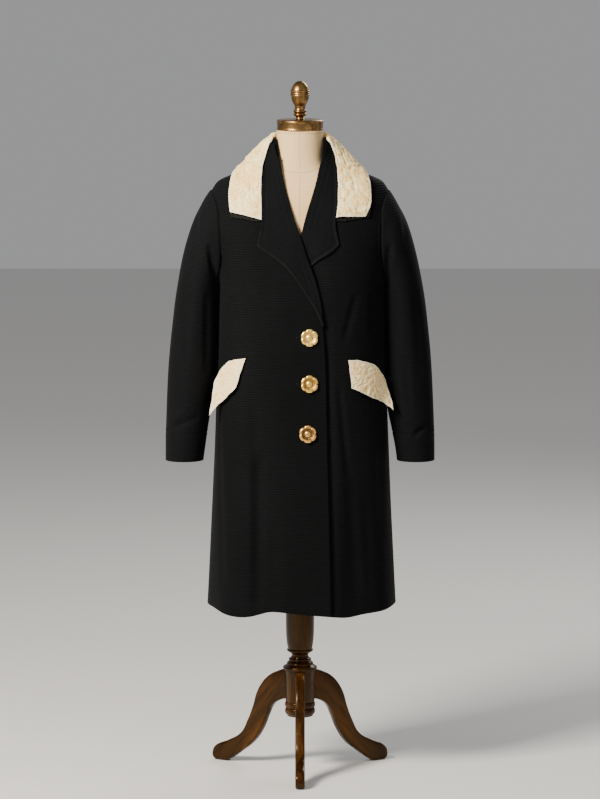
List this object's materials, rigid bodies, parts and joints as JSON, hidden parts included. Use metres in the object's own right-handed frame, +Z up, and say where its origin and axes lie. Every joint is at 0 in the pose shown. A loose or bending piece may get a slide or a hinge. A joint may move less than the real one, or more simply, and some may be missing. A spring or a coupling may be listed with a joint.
{
  "type": "wool coat on a limbless dress form with a tripod stand",
  "caption": "Knee-length black wool coat with pale collar and pocket flaps, worn by a limbless linen dress form on a turned wooden tripod stand.",
  "frame": {"origin": "on the floor under the centre of the bounding box", "axes": "+Z up; the coat's front faces -Y; +X is the wearer's left"},
  "size_m": [0.62, 0.3816, 1.597],
  "materials": {
    "black_wool": "ribbed matt wool",
    "pale_collar": "embossed plush",
    "pale_flap": "embossed plush",
    "linen": "plain linen",
    "gilt": "polished gilt",
    "brass": "aged brass",
    "dark_wood": "varnished"
  },
  "bodies": {
    "root": {"coat_back": "black_wool", "coat_front_right": "black_wool", "coat_front_left": "black_wool", "sleeve_right_front": "black_wool", "sleeve_right_back": "black_wool", "sleeve_left_front": "black_wool", "sleeve_left_back": "black_wool", "lapel_right": "black_wool", "lapel_left": "black_wool", "collar_stand": "black_wool", "under_collar": "black_wool", "top_collar": "pale_collar", "pocket_flap_right": "pale_flap", "pocket_flap_left": "pale_flap", "button_top": "gilt", "button_middle": "gilt", "button_bottom": "gilt", "dress_form": "linen", "neck_cap": "brass", "finial": "brass", "pedestal": "dark_wood", "leg_front": "dark_wood", "leg_left": "dark_wood", "leg_right": "dark_wood"}
  },
  "joints": []
}
